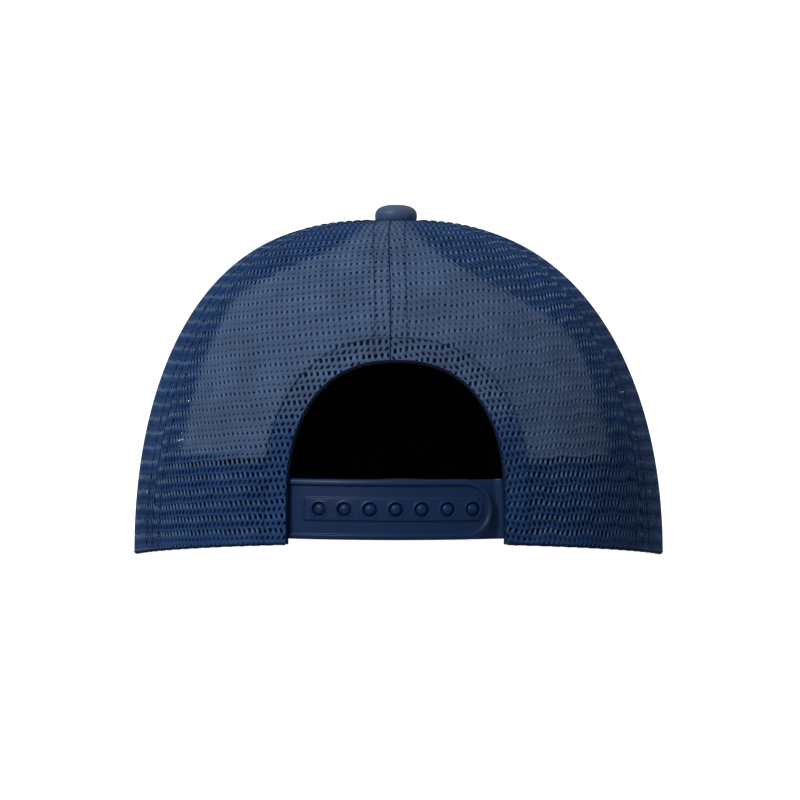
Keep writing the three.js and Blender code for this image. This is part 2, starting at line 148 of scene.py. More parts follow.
def mesh_object(name, points, faces, materials, face_material=None):
    """An object from points in millimetres. faces is one array, or a list of arrays with 3 or 4 columns."""
    faces = [faces] if isinstance(faces, np.ndarray) else faces
    faces = [f for f in faces if len(f)]
    co = to_row(points).astype(np.float32)
    sizes = np.concatenate([np.full(len(f), f.shape[1]) for f in faces])
    loops = np.concatenate([f.ravel() for f in faces]).astype(np.int32)
    starts = np.concatenate([[0], np.cumsum(sizes)[:-1]]).astype(np.int32)
    mesh = bpy.data.meshes.new(name)
    mesh.vertices.add(len(co))
    mesh.vertices.foreach_set("co", co.ravel())
    mesh.loops.add(len(loops))
    mesh.loops.foreach_set("vertex_index", loops)
    mesh.polygons.add(len(sizes))
    mesh.polygons.foreach_set("loop_start", starts)
    if face_material is not None:
        mesh.polygons.foreach_set("material_index", np.asarray(face_material, np.int32))
    mesh.polygons.foreach_set("use_smooth", np.full(len(sizes), True))
    mesh.update(calc_edges=True)
    mesh.validate()
    obj = bpy.data.objects.new(name, mesh)
    bpy.context.scene.collection.objects.link(obj)
    for m in materials if isinstance(materials, (list, tuple)) else [materials]:
        mesh.materials.append(m)
    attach(obj, "root")
    return obj


def grid_faces(columns, rows, closed_u=False, offset=0, flip=False):
    """Quads of a (rows+1) x (columns+1) grid of points, or of `columns` points around when closed."""
    wide = columns if closed_u else columns + 1
    i, j = np.meshgrid(np.arange(columns), np.arange(rows))
    a = j * wide + i
    b = j * wide + (i + 1) % wide
    quads = np.stack([a, b, b + wide, a + wide], -1).reshape(-1, 4)
    if flip:
        quads = quads[:, ::-1]
    return quads + offset


def slab(outer, inner):
    """Closed wall between two (rows+1, columns+1, 3) grids: points, quads, and 0 outer, 1 inner or 2 rim."""
    rows, columns = outer.shape[0] - 1, outer.shape[1] - 1
    layer = (rows + 1) * (columns + 1)
    front = grid_faces(columns, rows)
    back = grid_faces(columns, rows, offset=layer, flip=True)
    wide = columns + 1
    border = (
        list(range(columns))
        + [j * wide + columns for j in range(rows)]
        + [rows * wide + i for i in range(columns, 0, -1)]
        + [j * wide for j in range(rows, 0, -1)]
    )
    border = np.array(border)
    nxt = np.roll(border, -1)
    edge = np.stack([border, border + layer, nxt + layer, nxt], -1)
    points = np.concatenate([outer.reshape(-1, 3), inner.reshape(-1, 3)])
    kind = np.concatenate([np.zeros(len(front)), np.ones(len(back)), np.full(len(edge), 2)])
    return points, np.concatenate([front, back, edge]), kind


def tube(path, across, up, wide, tall, around=12):
    """A bead along `path` with an elliptic section: half sizes `wide` along `across`, `tall` along `up`."""
    n = len(path)
    a = np.linspace(0, 2 * math.pi, around, endpoint=False)
    ca, sa = np.cos(a), np.sin(a)
    wide = np.broadcast_to(np.asarray(wide, float), (n,))
    tall = np.broadcast_to(np.asarray(tall, float), (n,))
    pts = (
        path[:, None]
        + across[:, None] * (wide[:, None] * ca)[..., None]
        + up[:, None] * (tall[:, None] * sa)[..., None]
    )
    quads = grid_faces(around, n - 1, closed_u=True)
    pts = pts.reshape(-1, 3)
    caps = [np.arange(around)[::-1][None], (np.arange(around) + (n - 1) * around)[None]]
    return pts, quads, caps


class Parts:
    """Collects points and faces of many small pieces of one object."""

    def __init__(self):
        self.points, self.faces, self.count = [], {}, 0

    def add(self, points, faces, caps=()):
        for f in [faces, *caps]:
            if len(f):
                self.faces.setdefault(f.shape[1], []).append(f + self.count)
        self.points.append(points)
        self.count += len(points)

    def make(self, name, material):
        faces = [np.concatenate(v) for v in self.faces.values()]
        return mesh_object(name, np.concatenate(self.points), faces, material)


# Materials
def new_material(name, color, roughness, **sockets):
    m = bpy.data.materials.new(name)
    m.use_nodes = True
    shader = m.node_tree.nodes["Principled BSDF"]
    shader.inputs["Base Color"].default_value = (*color, 1)
    shader.inputs["Roughness"].default_value = roughness
    for key, value in sockets.items():
        shader.inputs[key.replace("_", " ")].default_value = value
    return m


def node(m, kind, **values):
    n = m.node_tree.nodes.new(kind)
    for key, value in values.items():
        if hasattr(n, key):
            setattr(n, key, value)
        else:
            n.inputs[key.replace("_", " ")].default_value = value
    return n


def link(m, a, b):
    m.node_tree.links.new(a, b)


def vary_colour(m, dark, light, scale):
    """Soft changes of the base colour over the surface."""
    shader = m.node_tree.nodes["Principled BSDF"]
    place = node(m, "ShaderNodeTexCoord")
    noise = node(m, "ShaderNodeTexNoise", Scale=scale, Detail=4.0)
    ramp = node(m, "ShaderNodeValToRGB")
    ramp.color_ramp.elements[0].position = 0.35
    ramp.color_ramp.elements[0].color = (*dark, 1)
    ramp.color_ramp.elements[1].position = 0.65
    ramp.color_ramp.elements[1].color = (*light, 1)
    link(m, place.outputs["Object"], noise.inputs["Vector"])
    link(m, noise.outputs["Fac"], ramp.inputs["Fac"])
    link(m, ramp.outputs["Color"], shader.inputs["Base Color"])


def bump(m, height_socket, distance, strength=1.0):
    shader = m.node_tree.nodes["Principled BSDF"]
    b = node(m, "ShaderNodeBump", Strength=strength, Distance=distance)
    link(m, height_socket, b.inputs["Height"])
    previous = shader.inputs["Normal"]
    if previous.is_linked:
        link(m, previous.links[0].from_socket, b.inputs["Normal"])
    link(m, b.outputs["Normal"], shader.inputs["Normal"])


def grain(m, scale, distance, strength=1.0, stretch=(1, 1, 1)):
    place = node(m, "ShaderNodeTexCoord")
    turn = node(m, "ShaderNodeMapping")
    turn.inputs["Scale"].default_value = stretch
    noise = node(m, "ShaderNodeTexNoise", Scale=scale, Detail=3.0)
    link(m, place.outputs["Object"], turn.inputs["Vector"])
    link(m, turn.outputs["Vector"], noise.inputs["Vector"])
    bump(m, noise.outputs["Fac"], distance, strength)


def weave(m, pitch_mm, distance_mm, strength=1.0, rotation=(0, 0, 0)):
    """Two crossing sets of threads."""
    place = node(m, "ShaderNodeTexCoord")
    turn = node(m, "ShaderNodeMapping")
    turn.inputs["Rotation"].default_value = rotation
    link(m, place.outputs["Object"], turn.inputs["Vector"])
    heights = []
    for direction in ("X", "Z"):
        wave = node(m, "ShaderNodeTexWave", bands_direction=direction, wave_profile="SIN")
        wave.inputs["Scale"].default_value = 1000 / pitch_mm / 20
        wave.inputs["Distortion"].default_value = 0.6
        wave.inputs["Detail"].default_value = 1.0
        link(m, turn.outputs["Vector"], wave.inputs["Vector"])
        heights.append(wave.outputs["Fac"])
    mix = node(m, "ShaderNodeMath", operation="MULTIPLY")
    link(m, heights[0], mix.inputs[0])
    link(m, heights[1], mix.inputs[1])
    bump(m, mix.outputs[0], distance_mm / 1000, strength)


def net_material(name, colour, spread=0.16):
    m = new_material(name, colour, 0.6, Specular_IOR_Level=0.02)
    vary_colour(m, [c * (1 - spread) for c in colour], [c * (1 + spread) for c in colour], 90)
    grain(m, 2600, 0.00012, 0.6, (1, 1, 2.5))
    return m


# Painted light: NET holds copies of one navy net, from its own colour DARK_NET up to lighter levels. The
# lighter levels go on the middle of the back panels, away from the seams, rim and hem.
DARK_NET, PAINTED_LIGHT_NET = np.array([0.0165, 0.044, 0.128]), np.array([0.051, 0.081, 0.151])
BODY_LEVELS = 4
NET = [
    net_material(f"net_{k}", DARK_NET + (PAINTED_LIGHT_NET - DARK_NET) * k / (BODY_LEVELS - 1), 0.12)
    for k in range(BODY_LEVELS)
]
# Painted highlight: the sides of the open rows' slanted strands get these lighter colours, dimmer at the
# hem. net_shade is painted shade.
NET.append(net_material("net_strand_highlight", (0.064, 0.11, 0.208)))
NET.append(net_material("net_shade", (0.0075, 0.023, 0.072)))
NET.append(net_material("net_hem_strand_highlight", (0.033, 0.072, 0.18)))
STRAND_HIGHLIGHT, SHADE, HEM_STRAND_HIGHLIGHT = BODY_LEVELS, BODY_LEVELS + 1, BODY_LEVELS + 2

# Folded edges of the net, the side seam ridges and the rim folds, coloured far darker than the net: painted
# shade.
SHADED_FOLD = new_material("net_fold_shaded", (0.0045, 0.012, 0.04), 0.7, Specular_IOR_Level=0.05)
vary_colour(SHADED_FOLD, (0.0035, 0.0095, 0.033), (0.006, 0.015, 0.048), 300)
grain(SHADED_FOLD, 1500, 0.0002, 0.8)

THREAD = new_material("thread", (0.015, 0.029, 0.07), 0.6, Specular_IOR_Level=0.1)
vary_colour(THREAD, (0.011, 0.022, 0.056), (0.02, 0.037, 0.086), 400)
grain(THREAD, 3000, 0.0001, 0.6)

CLOTH = new_material("front_cloth", (0.018, 0.034, 0.082), 0.75, Specular_IOR_Level=0.25)
vary_colour(CLOTH, (0.016, 0.03, 0.074), (0.021, 0.038, 0.09), 60)
weave(CLOTH, 0.6, 0.05, 0.7)

FOAM = new_material("foam", (0.09, 0.13, 0.21), 0.95, Specular_IOR_Level=0.1)
vary_colour(FOAM, (0.075, 0.11, 0.18), (0.105, 0.15, 0.24), 250)
grain(FOAM, 900, 0.0004, 0.7)

TAPE = new_material("tape", (0.011, 0.034, 0.12), 0.85, Specular_IOR_Level=0.1)
vary_colour(TAPE, (0.009, 0.029, 0.105), (0.013, 0.039, 0.135), 120)
weave(TAPE, 0.8, 0.08, 0.8)

MIDDLE_TAPE = new_material("middle_tape", (0.07, 0.14, 0.34), 0.8, Specular_IOR_Level=0.15)
vary_colour(MIDDLE_TAPE, (0.06, 0.12, 0.3), (0.08, 0.16, 0.38), 200)
weave(MIDDLE_TAPE, 0.8, 0.08, 0.8)

# Inner face of the sweatband: a dark band made near black, with painted shade standing in for the deep shade
# inside the opening.
BAND_INNER_SHADED = new_material("sweatband", (0.0012, 0.0014, 0.003), 1.0, Specular_IOR_Level=0.02)
vary_colour(BAND_INNER_SHADED, (0.001, 0.0011, 0.0024), (0.0015, 0.0018, 0.0038), 100)
weave(BAND_INNER_SHADED, 0.7, 0.08, 0.8, (0, 0, 0.7))

BAND_BACK = new_material("sweatband_back", (0.011, 0.034, 0.12), 0.9, Specular_IOR_Level=0.1)
vary_colour(BAND_BACK, (0.009, 0.029, 0.105), (0.013, 0.039, 0.135), 200)
weave(BAND_BACK, 0.7, 0.08, 0.8)

PLASTIC = new_material("strap_plastic", (0.0034, 0.0185, 0.067), 0.42, Specular_IOR_Level=0.17)
vary_colour(PLASTIC, (0.0031, 0.017, 0.063), (0.0037, 0.02, 0.072), 40)
grain(PLASTIC, 1400, 0.00006, 0.35)

SATIN = new_material("button_satin", (0.037, 0.066, 0.137), 0.5, Specular_IOR_Level=0.3, Sheen_Weight=0.08)
vary_colour(SATIN, (0.033, 0.06, 0.125), (0.041, 0.072, 0.149), 150)
weave(SATIN, 0.35, 0.04, 0.6)

METAL = new_material("washer_metal", (0.4, 0.42, 0.45), 0.35, Metallic=1.0)
vary_colour(METAL, (0.36, 0.38, 0.41), (0.45, 0.47, 0.5), 200)
grain(METAL, 800, 0.00005, 0.4)


# Arch of the opening, seen from behind
def arch_value(x, z, margin=0.0):
    """Under 1 inside the arch grown by margin, 1 on its outline."""
    wide, tall = ARCH_WIDE + margin, ARCH_TOP - ARCH_SPRING + margin
    up = np.maximum(z - ARCH_SPRING, 0) / tall
    return (np.abs(x / wide) ** ARCH_EXP + up**ARCH_EXP) ** (1 / ARCH_EXP)


def dome_from_xz(x, z):
    """Angle and turn of the point of the crown's back seen at x, z."""
    turn = turn_at_height(z)
    angle = np.degrees(np.arcsin(np.clip(x / HALF_WIDTH, -0.999, 0.999)))
    for _ in range(12):
        height = np.sin(turn) ** (2 / HEIGHT_EXP)
        reach = np.cos(turn) ** (2 / exponent(angle))
        angle = np.degrees(np.arcsin(np.clip((x - LEAN * height**2) / (HALF_WIDTH * reach), -0.999, 0.999)))
    return angle, turn


def push_out_of_arch(angle, turn, margin=0.0, inwards=False):
    """Moves points to the arch's outline: those inside it, or those outside it with `inwards`."""
    p = dome(angle, turn)
    x, z = p[..., 0], p[..., 2]
    f = arch_value(x, z, margin)
    move = at_back(angle) & ((f > 1) if inwards else (f < 1))
    if not move.any():
        return angle, turn
    fx, fz = x[move], z[move]
    factor = 1 / np.maximum(f[move], 0.05)
    nx = fx * factor
    nz = np.where(fz > ARCH_SPRING, ARCH_SPRING + (fz - ARCH_SPRING) * factor, fz)
    a, t = dome_from_xz(nx, nz)
    angle, turn = angle.copy(), turn.copy()
    angle[move], turn[move] = a, t
    return angle, turn


# Net: open rows with slanted strands, and denser rows that lean back, staggered by half a column.
COLUMN = 2.05
OPEN_ROW, DENSE_ROW = 2.45, 2.7
PERIOD = OPEN_ROW + DENSE_ROW
ZIGZAG, LEAN_BY = 0.26, 0.62
OPEN_HOLE, DENSE_HOLE = (0.58, 0.9), (0.4, 0.7)
SIDE_OPEN, SIDE_DENSE = (0.3, 0.47), (0.18, 0.29)
MID_OPEN, MID_DENSE = (0.19, 0.25), (0.09, 0.11)
CLOSED_OPEN, CLOSED_DENSE = (0.19, 0.26), (0.1, 0.12)
HEM_OPEN, HEM_DENSE = (0.42, 0.62), (0.32, 0.5)
SHARE_HOLES = (
    (SIDE_OPEN, SIDE_DENSE),
    (MID_OPEN, MID_DENSE),
    (CLOSED_OPEN, CLOSED_DENSE),
    (HEM_OPEN, HEM_DENSE),
)
HEM_SHARE = 3
GROOVE = 0.45
# The net at the hem keeps its own navy low down and is painted light higher up.
HEM_PAINTED_LIGHT = (38, 62)  # heights over which the net at the hem turns light
SEAM_INSET, RIM_INSET, ARCH_INSET = 0.2, 0.5, 0.05
SEAM_REACH, RIM_REACH, ARCH_REACH = 2.0, 1.6, 1.7
NET_TOP_RADIUS = 4.5


def net_cells(width, height):
    """Cell centres (u, v), half heights, and whether a cell is in an open row."""
    cells = []
    v = 0.0
    for r in range(int(height / PERIOD * 2) + 2):
        is_open = r % 2 == 0
        h = OPEN_ROW if is_open else DENSE_ROW
        shift = 0.0 if is_open else COLUMN / 2
        n = int(width / COLUMN / 2) + 2
        for k in range(-n, n + 1):
            cells.append((k * COLUMN + shift, v + h / 2, h / 2, is_open))
        v += h
    return np.array(cells, float)


def slant(v):
    """Sideways swing of the strands: across over an open row and back over a dense one."""
    v = np.mod(v, PERIOD)
    return np.where(v < OPEN_ROW, v / OPEN_ROW, (PERIOD - v) / DENSE_ROW)


def cell_faces(is_open, light, hemmed):
    """Material of each of a cell's 3 x 12 faces. Faces 2, 3, 8 and 9 are its sides, 4 to 7 its foot. The
    sides of open rows get a painted highlight, dimmer at the hem. Their heads and every hole wall get
    painted shade, and the rest gets its level of painted light.
    """
    body = np.rint(light * (BODY_LEVELS - 1)).astype(int)[:, None, None]
    kinds = np.broadcast_to(body, (len(light), 3, 12)).copy()
    sides = np.isin(np.arange(12), (2, 3, 8, 9))
    head = np.isin(np.arange(12), (0, 1, 10, 11))
    dim = hemmed & (light < 0.6)
    kinds[np.ix_(is_open & ~dim, (0, 1), np.flatnonzero(sides))] = STRAND_HIGHLIGHT
    kinds[np.ix_(is_open & dim, (0, 1), np.flatnonzero(sides))] = HEM_STRAND_HIGHLIGHT
    kinds[np.ix_(is_open, [1], np.flatnonzero(head))] = SHADE
    kinds[:, 2] = SHADE
    return kinds.reshape(-1)


def wobble(u, v, reach, sag):
    """Uneven pull of the threads: a small shift that is the same for all cells that share a point."""
    across = np.sin(2.3 * u + 3.1 * v) + np.sin(3.7 * u - 1.9 * v + 1) + np.sin(0.9 * u + 1.3 * v + 2)
    up = np.sin(2.9 * u - 2.3 * v + 3) + np.sin(1.7 * u + 3.3 * v) + np.sin(0.8 * u - 0.7 * v + 4)
    slow = 0.4 * np.sin(0.38 * u + 0.11 * v) + 0.17 * np.sin(0.83 * u - 0.2 * v)
    return u + reach * across / 2, v + reach * up / 2 + sag * slow


def net_mesh(name, mid_angle, from_angle, to_angle, tilt, lean, pull, depths, keep, clamp, zones):
    """Open net over a panel. `clamp` moves points to the panel's outline, `keep` picks the cells."""
    table = arc_table(mid_angle)
    length = table[-1]
    per_degree = degree_length(mid_angle, TABLE_TURNS)
    widest = (to_angle - from_angle) * per_degree[0]

    def place(u, v):
        u, v = wobble(u + lean * LEAN_BY * slant(v), v, *pull)
        s = v + tilt * u * np.clip((v - 5) / 75, 0, 1)
        angle = mid_angle + u / np.interp(s, table, per_degree)
        s = s + rim_height(np.clip(angle, from_angle, to_angle)) * np.clip(1 - v / 70, 0, 1) * 0.9
        angle = mid_angle + u / np.interp(s, table, per_degree)
        return angle, np.interp(s, table, TABLE_TURNS)

    cells = net_cells(widest * 1.12, length)
    angle, turn = place(cells[:, 0], cells[:, 1])
    cells = cells[keep(angle, turn)]
    u0, v0, half, is_open = cells.T
    is_open = is_open > 0.5
    n = len(cells)
    b, a, e = half, COLUMN / 2, ZIGZAG
    corner_u = np.array([0, a, a, 0, -a, -a])
    corner_s = np.array([1, 1, -1, -1, -1, 1])
    corner_e = np.array([e, -e, e, -e, e, -e])
    ring_u = u0[:, None] + corner_u
    ring_v = v0[:, None] + b[:, None] * corner_s + corner_e
    ring_u = np.stack([ring_u, (ring_u + np.roll(ring_u, -1, 1)) / 2], -1).reshape(n, 12)
    ring_v = np.stack([ring_v, (ring_v + np.roll(ring_v, -1, 1)) / 2], -1).reshape(n, 12)
    theta = np.arctan2((ring_u - u0[:, None]), (ring_v - v0[:, None]) * (a / b)[:, None])
    light, *shares = zones(*place(u0, v0))
    rows = is_open[:, None]
    sizes = np.where(rows, OPEN_HOLE, DENSE_HOLE)
    for share, holes in zip(shares, SHARE_HOLES):
        sizes = sizes + (np.where(rows, *holes) - sizes) * share[:, None]
    wave = 1 + 0.13 * np.sin(u0 * 2.7 + v0 * 1.9) + 0.1 * np.sin(u0 * 1.61 - v0 * 2.3)
    wave += shares[HEM_SHARE] * (0.16 * np.sin(u0 * 4.3 + v0 * 5.1) + 0.12 * np.sin(u0 * 6.7 - v0 * 3.7))
    hw, hh = (sizes * wave[:, None]).T
    hole_u = u0[:, None] + hw[:, None] * np.sign(np.sin(theta)) * np.abs(np.sin(theta)) ** 0.85
    hole_v = v0[:, None] + hh[:, None] * np.sign(np.cos(theta)) * np.abs(np.cos(theta)) ** 0.85
    shoulder_u = hole_u + (ring_u - hole_u) * 0.42
    shoulder_v = hole_v + (ring_v - hole_v) * 0.42
    d_ridge, d_shoulder, d_hole, d_back = depths
    us = np.stack([ring_u, shoulder_u, hole_u, ring_u], 1).reshape(-1)
    vs = np.stack([ring_v, shoulder_v, hole_v, ring_v], 1).reshape(-1)
    ds = np.tile(np.array([d_ridge, d_shoulder, d_hole, d_back])[:, None], (n, 1, 12))
    groove = GROOVE * zones(*place(ring_u, ring_v))[2]
    corner = np.arange(12)
    at_line = np.where(rows, np.isin(corner, (4, 5, 6, 7, 8)), np.isin(corner, (10, 11, 0, 1, 2)))
    ds[:, 0] += groove * at_line
    ds = ds.reshape(-1)
    # neighbours share their border points
    key = np.stack([np.round(us, 3), np.round(vs, 3), np.round(ds, 3)], 1)
    _, first, back = np.unique(key, axis=0, return_index=True, return_inverse=True)
    back = back.reshape(-1)
    us, vs, ds = us[first], vs[first], ds[first]
    angle, turn = place(us, vs)
    angle, turn = clamp(angle, turn)
    points = crown(angle, turn, ds)
    base = (np.arange(n) * 48)[:, None, None]
    i = np.arange(12)
    quads = []
    for layer in range(3):
        p, q = layer * 12, (layer + 1) * 12
        quads.append(np.stack([p + i, q + i, q + (i + 1) % 12, p + (i + 1) % 12], -1))
    quads = (np.concatenate(quads)[None] + base).reshape(-1, 4)
    quads = back[quads]
    # faces that the outline has closed up are left out
    p = points[quads]
    area = np.linalg.norm(np.cross(p[:, 2] - p[:, 0], p[:, 3] - p[:, 1]), axis=1) / 2
    whole = area > 0.004
    kinds = cell_faces(is_open, light, shares[HEM_SHARE] > 0.5)
    return mesh_object(name, points, quads[whole], NET, face_material=kinds[whole])


def middle_bend(turn):
    """The middle seam wanders this far sideways near the button, in millimetres."""
    return -1.5 * ease(turn, 0.75, 1.35)


def sector_rules(from_angle, to_angle, arch):
    """Which cells a panel keeps, and how their points are held within the panel's outline."""
    top_turn = turn_at_radius(NET_TOP_RADIUS)

    def limits(turn, reach):
        """Angles of the panel's two seams, each moved out by `reach` millimetres."""
        per = degree_length(90, turn)
        bend_from, bend_to = (middle_bend(turn) * (a == MIDDLE_SEAM) for a in (from_angle, to_angle))
        return from_angle + (bend_from - reach) / per, to_angle + (bend_to + reach) / per

    def clamp(angle, turn):
        angle = np.clip(angle, *limits(turn, -SEAM_INSET))
        turn = np.clip(turn, turn_at_height(rim_height(angle) + RIM_INSET), top_turn)
        if arch:
            angle, turn = push_out_of_arch(angle, turn, ARCH_INSET)
        return angle, turn

    def keep(angle, turn):
        lo, hi = limits(turn, SEAM_REACH)
        ok = (angle > lo) & (angle < hi)
        ok &= turn > turn_at_height(np.maximum(rim_height(angle) - RIM_REACH, 0)) - 1e-6
        ok &= turn < top_turn
        if arch:
            p = dome(angle, turn)
            ok &= ~((arch_value(p[..., 0], p[..., 2], -ARCH_REACH) < 1) & at_back(angle))
        return ok

    return keep, clamp


MID_FROM, CLOSED_ZONE, RIM_ZONE = 36.5, 5.0, 3.0
# painted light on the net reaches this far to each side: angle, drop of the angle near the top, and the
# heights of the drop
PAINTED_LIGHT_LEFT, PAINTED_LIGHT_RIGHT = (55, 32, 88, 111), (54, 42, 72, 114)


def painted_light_limit(angle, height):
    limits = [wide - drop * ease(height, low, high) for wide, drop, low, high in (PAINTED_LIGHT_LEFT, PAINTED_LIGHT_RIGHT)]
    return np.where(angle < 0, *limits)


def net_zones(angle, turn):
    """Shares from 0 to 1: painted light on the net, sides, the painted-light zone with small holes, close at
    the middle seam, at the hem.
    """
    p = dome(angle, turn)
    height = p[..., 2]
    per = degree_length(angle, turn)
    behind = at_back(angle)
    from_hem = np.where(behind, (arch_value(p[..., 0], height, HEM_WIDTH) - 1) * 40, 99)
    off_seam = ease((painted_light_limit(angle, height) - np.abs(angle)) * per, -3, 3)
    off_seam = off_seam * ease(height, MID_FROM - 2, MID_FROM + 2)
    off_hem = ease(from_hem, -3, 1)
    at_side = (1 - ease((BACK_SEAM - np.abs(angle)) * per, 4, 9)) * ease(height, 27, 33)
    at_side = np.maximum(at_side, 1 - ease(height - rim_height(angle), RIM_ZONE, RIM_ZONE + 1.5))
    closed = (1 - ease(np.abs(angle - MIDDLE_SEAM) * per, CLOSED_ZONE - 1, CLOSED_ZONE + 1)) * off_hem
    # share of painted light on the net: none at the seams and sides, and none low down at the hem
    light = off_seam * np.maximum(off_hem, ease(height, *HEM_PAINTED_LIGHT))
    return light, at_side, off_seam * off_hem, closed * behind, 1 - off_hem


OUTER_DEPTHS = (0.12, 0.28, 0.62, 1.1)
SIDE_DEPTHS = (0.12, 0.17, 0.32, 0.6)
NET_PANELS = {
    "back_panel_left": (-BACK_SEAM, MIDDLE_SEAM, 0.12, -1, (0.1, 0.3), True),
    "back_panel_right": (MIDDLE_SEAM, BACK_SEAM, 0.09, 1, (0.12, 1.0), True),
    "side_panel_left": (-FRONT_SEAM, -BACK_SEAM, 0.0, -1, (0.1, 0.4), False),
    "side_panel_right": (BACK_SEAM, FRONT_SEAM, 0.0, 1, (0.1, 0.4), False),
}
for panel, (a0, a1, tilt, lean, pull, arch) in NET_PANELS.items():
    depths = OUTER_DEPTHS if arch else SIDE_DEPTHS
    rules = sector_rules(a0, a1, arch)
    net = net_mesh("net_" + panel, (a0 + a1) / 2, a0, a1, tilt, lean, pull, depths, *rules, net_zones)
    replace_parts(net, panel)


# The net folded in behind the edge of the opening.
def hem_keep(angle, turn):
    p = dome(angle, turn)
    x, z = p[..., 0], p[..., 2]
    inside = arch_value(x, z, HEM_WIDTH) < 1
    outside = arch_value(x, z, -0.6) > 1
    return at_back(angle) & inside & outside & (z > rim_height(angle) + 0.2)


def hem_clamp(angle, turn):
    turn = np.maximum(turn, turn_at_height(rim_height(angle) + RIM_INSET))
    angle, turn = push_out_of_arch(angle, turn, 0.4)
    return push_out_of_arch(angle, turn, HEM_WIDTH, inwards=True)


HEM_LAYER = 1.3
HEM_DEPTHS = tuple(d + HEM_LAYER for d in OUTER_DEPTHS)


# The folded-in hem net gets painted light higher up.
def hem_zones(angle, turn):
    none = np.zeros(np.shape(angle))
    return ease(dome(angle, turn)[..., 2], *HEM_PAINTED_LIGHT), none, none, none, none + 1


hem_rules = hem_keep, hem_clamp, hem_zones
hem = net_mesh("net_hem", 4.0, -40.0, 40.0, 0.42, 1, (0.3, 1.0), HEM_DEPTHS, *hem_rules)
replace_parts(hem, "arch_hem")


# Folded edges, seams and stitches
def frame_along(path, normal):
    step = np.gradient(path, axis=0)
    step /= np.linalg.norm(step, axis=1, keepdims=True)
    across = np.cross(step, normal)
    across /= np.linalg.norm(across, axis=1, keepdims=True)
    up = np.cross(across, step)
    return across, up


def arch_line(margin):
    """Angle and turn along the arch's outline, from the rim on the left to the rim on the right."""
    steps = 220
    wide, tall = ARCH_WIDE + margin, ARCH_TOP - ARCH_SPRING + margin
    t = np.linspace(0, math.pi, steps)
    x = -np.sign(np.cos(t)) * wide * np.abs(np.cos(t)) ** (2 / ARCH_EXP)
    z = ARCH_SPRING + tall * np.sin(t) ** (2 / ARCH_EXP)
    down = np.linspace(rim_height(22.5) + 0.3, ARCH_SPRING, 26)[:-1]
    x = np.concatenate([np.full(len(down), -wide), x, np.full(len(down), wide)])
    z = np.concatenate([down, z, down[::-1]])
    step = np.concatenate([[0], np.cumsum(np.hypot(np.diff(x), np.diff(z)))])
    even = np.linspace(0, step[-1], steps + 50)
    return dome_from_xz(np.interp(even, step, x), np.interp(even, step, z))


folds = Parts()
angle, turn = arch_line(0.3)
path = crown(angle, turn, 1.7)
across, up = frame_along(path, outward(angle, turn))
ripple = 1 + 0.06 * np.sin(np.arange(len(path)) * 0.9) + 0.05 * np.sin(np.arange(len(path)) * 2.3 + 1)
folds.add(*tube(path, across, up, 0.3 * ripple, 1.1, 14))


def rim_fold(from_angle, to_angle):
    a = np.linspace(from_angle, to_angle, 140)
    wave = 0.12 * np.sin(a * 1.9) + 0.08 * np.sin(a * 4.3 + 0.7)
    t = turn_at_height(rim_height(a) + 0.62 + 0.5 * (wave - wave.min()))
    p = crown_flat_edge(a, t, 0.75)
    ac, u = frame_along(p, outward(a, t))
    folds.add(*tube(p, ac, u, 0.6, 0.72, 12))


edge_angle = float(dome_from_xz(np.array(ARCH_WIDE + 0.6), np.array(8.0))[0])
rim_fold(-FRONT_SEAM + 0.2, -edge_angle)
rim_fold(edge_angle, FRONT_SEAM - 0.2)

stitches = Parts()


def capsule(a, b, up, radius):
    """One thread stitch from a to b."""
    steps = np.linspace(0, 1, 5)
    lift = radius * 0.6 * np.sin(steps * math.pi)[:, None]
    path = a + (b - a) * steps[:, None] + up * lift
    across, u = frame_along(path, np.broadcast_to(up, path.shape))
    size = radius * np.array([0.45, 0.95, 1, 0.95, 0.45])
    stitches.add(*tube(path, across, u, size, size, 7))


def stitch_line(angles, turns, depth, length=2.6, gap=0.6, radius=0.17):
    path = crown(angles, turns, depth)
    normal = outward(angles, turns)
    run = np.concatenate([[0], np.cumsum(np.linalg.norm(np.diff(path, axis=0), axis=1))])
    starts = np.arange(0.6, run[-1] - length, length + gap)
    for s in starts:
        a, b, n = (
            np.array([np.interp(q, run, source[:, k]) for k in range(3)])
            for q, source in ((s, path), (s + length, path), (s + length / 2, normal))
        )
        capsule(a, b, n, radius)


SEAM_TAPER = 23  # a line beside a seam keeps within this many degrees of it


def seam_line(seam, offset, bottom=1.5, top_radius=6.5, steps=160, stop_at_arch=None):
    """Angle and turn along a seam, `offset` millimetres to its side, tapering in towards the top."""
    low_turn = float(turn_at_height(rim_height(seam) + bottom))
    if stop_at_arch is not None:
        low_turn = float(turn_at_height(ARCH_TOP + stop_at_arch))
    turn = np.linspace(low_turn, turn_at_radius(top_radius), steps)
    per = degree_length(seam, turn)
    reach = np.minimum(abs(offset), SEAM_TAPER * per) * np.sign(offset)
    return seam + (reach + middle_bend(turn) * (seam == MIDDLE_SEAM)) / per, turn


def seam_ridge(seam, half=0.36, stop_at_arch=None):
    for side in (-1, 1):
        a, t = seam_line(seam, side * half, 0.4, 4.6, 220, stop_at_arch)
        run = np.arange(len(a)) + 40 * side
        p = crown(a, t, 0.85 + 0.16 * np.sin(run * 0.55) * np.sin(run * 0.19))
        ac, u = frame_along(p, outward(a, t))
        (stitches if seam == MIDDLE_SEAM else folds).add(*tube(p, ac, u, half, 0.45, 10))


